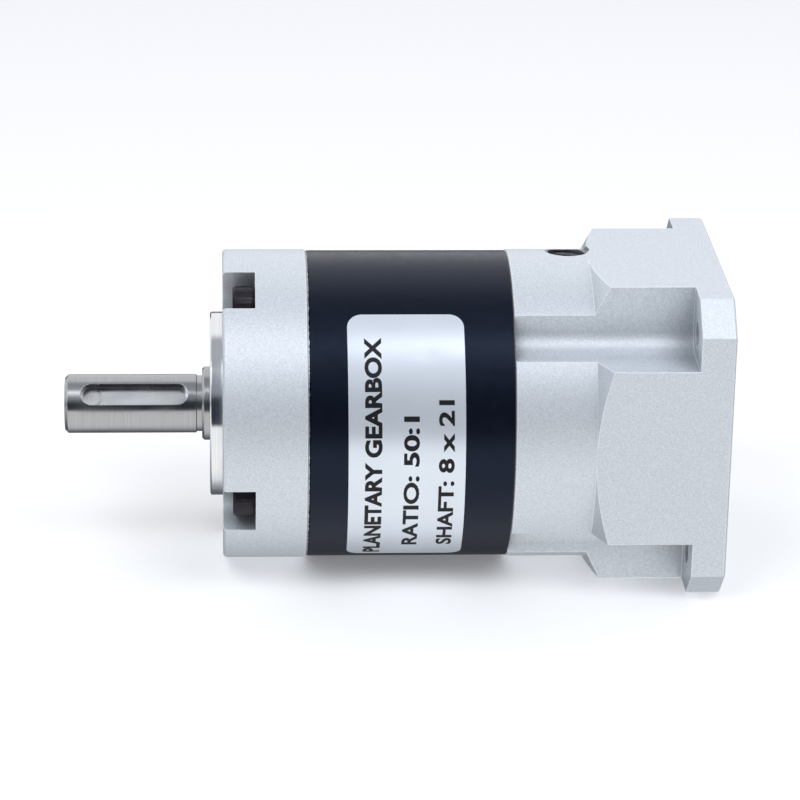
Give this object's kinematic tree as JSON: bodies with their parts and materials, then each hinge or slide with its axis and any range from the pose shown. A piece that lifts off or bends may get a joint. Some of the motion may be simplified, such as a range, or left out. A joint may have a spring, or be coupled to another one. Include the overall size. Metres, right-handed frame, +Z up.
{
  "type": "planetary gearbox",
  "caption": "Inline planetary gearbox with a keyed output shaft, a round body and a square flange for a stepper motor.",
  "frame": {"origin": "centre of the output mounting face, on the shaft axis", "axes": "+X along the shaft towards the motor, +Z up, normal to the square flange's top face; the label faces -Y"},
  "size_m": [0.0884, 0.042, 0.042],
  "materials": {
    "anodised_silver": "bead-blasted, clear anodised",
    "anodised_black": "satin black finish on steel",
    "black_oxide": "black oxide on steel screws",
    "ground_steel": "ground and turned steel",
    "gear_steel": "hardened gear steel",
    "bearing_steel": "polished bearing steel",
    "label_foil": "satin silver foil",
    "brass_cage": "pressed brass"
  },
  "bodies": {
    "housing": {"front_housing": "anodised_silver", "ring_gear": "anodised_black", "rear_housing": "anodised_silver", "housing_screws": "black_oxide", "rating_label": "label_foil", "bearing_spacer": "ground_steel", "front_bearing_outer": "bearing_steel", "rear_bearing_outer": "bearing_steel", "input_bearing_outer": "bearing_steel"},
    "output": {"output_shaft": "ground_steel", "shaft_circlip": "black_oxide", "output_carrier_plate": "ground_steel", "output_carrier_screws": "black_oxide", "output_planet_pins": "bearing_steel", "output_thrust_washers": "brass_cage", "front_bearing_inner": "bearing_steel", "rear_bearing_inner": "bearing_steel"},
    "output_planet_a": {"output_planet_1": "gear_steel"},
    "output_planet_b": {"output_planet_2": "gear_steel"},
    "output_planet_c": {"output_planet_3": "gear_steel"},
    "input_carrier_body": {"input_carrier": "ground_steel", "input_carrier_plate": "ground_steel", "input_carrier_screws": "black_oxide", "input_planet_pins": "bearing_steel", "input_thrust_washers": "brass_cage"},
    "input_planet_a": {"input_planet_1": "gear_steel"},
    "input_planet_b": {"input_planet_2": "gear_steel"},
    "input_planet_c": {"input_planet_3": "gear_steel"},
    "input": {"input_hub": "ground_steel", "clamp_ring": "black_oxide", "clamp_screw": "black_oxide", "input_bearing_inner": "bearing_steel"},
    "front_balls": {"front_bearing_balls": "bearing_steel", "front_bearing_cage": "brass_cage"},
    "rear_balls": {"rear_bearing_balls": "bearing_steel", "rear_bearing_cage": "brass_cage"},
    "input_balls": {"input_bearing_balls": "bearing_steel", "input_bearing_cage": "brass_cage"}
  },
  "joints": [
    {"name": "output_spin", "type": "hinge", "parent": "housing", "child": "output", "pos_m": [0, 0, 0], "axis": [1, 0, 0], "continuous": true},
    {"name": "input_carrier_spin", "type": "hinge", "parent": "housing", "child": "input_carrier_body", "pos_m": [0.028, 0, 0], "axis": [1, 0, 0], "continuous": true},
    {"name": "input_spin", "type": "hinge", "parent": "housing", "child": "input", "pos_m": [0.04, 0, 0], "axis": [1, 0, 0], "continuous": true},
    {"name": "output_planet_a_spin", "type": "hinge", "parent": "output", "child": "output_planet_a", "pos_m": [0.02, 0, 0.009], "axis": [1, 0, 0], "continuous": true},
    {"name": "input_planet_a_spin", "type": "hinge", "parent": "input_carrier_body", "child": "input_planet_a", "pos_m": [0.0308, 0, 0.00788], "axis": [1, 0, 0], "continuous": true},
    {"name": "output_planet_b_spin", "type": "hinge", "parent": "output", "child": "output_planet_b", "pos_m": [0.02, -0.00779, -0.0045], "axis": [1, 0, 0], "continuous": true},
    {"name": "input_planet_b_spin", "type": "hinge", "parent": "input_carrier_body", "child": "input_planet_b", "pos_m": [0.0308, -0.00682, -0.00394], "axis": [1, 0, 0], "continuous": true},
    {"name": "output_planet_c_spin", "type": "hinge", "parent": "output", "child": "output_planet_c", "pos_m": [0.02, 0.00779, -0.0045], "axis": [1, 0, 0], "continuous": true},
    {"name": "input_planet_c_spin", "type": "hinge", "parent": "input_carrier_body", "child": "input_planet_c", "pos_m": [0.0308, 0.00682, -0.00394], "axis": [1, 0, 0], "continuous": true},
    {"name": "front_balls_spin", "type": "hinge", "parent": "housing", "child": "front_balls", "pos_m": [0.004, 0, 0], "axis": [1, 0, 0], "continuous": true},
    {"name": "rear_balls_spin", "type": "hinge", "parent": "housing", "child": "rear_balls", "pos_m": [0.0107, 0, 0], "axis": [1, 0, 0], "continuous": true},
    {"name": "input_balls_spin", "type": "hinge", "parent": "housing", "child": "input_balls", "pos_m": [0.039, 0, 0], "axis": [1, 0, 0], "continuous": true}
  ],
  "couplings": [
    {"joint": "input_carrier_spin", "follows": "output_spin", "ratio": 5},
    {"joint": "input_spin", "follows": "output_spin", "ratio": 50},
    {"joint": "output_planet_a_spin", "follows": "output_spin", "ratio": -2.6667},
    {"joint": "input_planet_a_spin", "follows": "output_spin", "ratio": -11.25},
    {"joint": "output_planet_b_spin", "follows": "output_spin", "ratio": -2.6667},
    {"joint": "input_planet_b_spin", "follows": "output_spin", "ratio": -11.25},
    {"joint": "output_planet_c_spin", "follows": "output_spin", "ratio": -2.6667},
    {"joint": "input_planet_c_spin", "follows": "output_spin", "ratio": -11.25},
    {"joint": "front_balls_spin", "follows": "output_spin", "ratio": 0.41793},
    {"joint": "rear_balls_spin", "follows": "output_spin", "ratio": 0.41793},
    {"joint": "input_balls_spin", "follows": "output_spin", "ratio": 20.897}
  ]
}
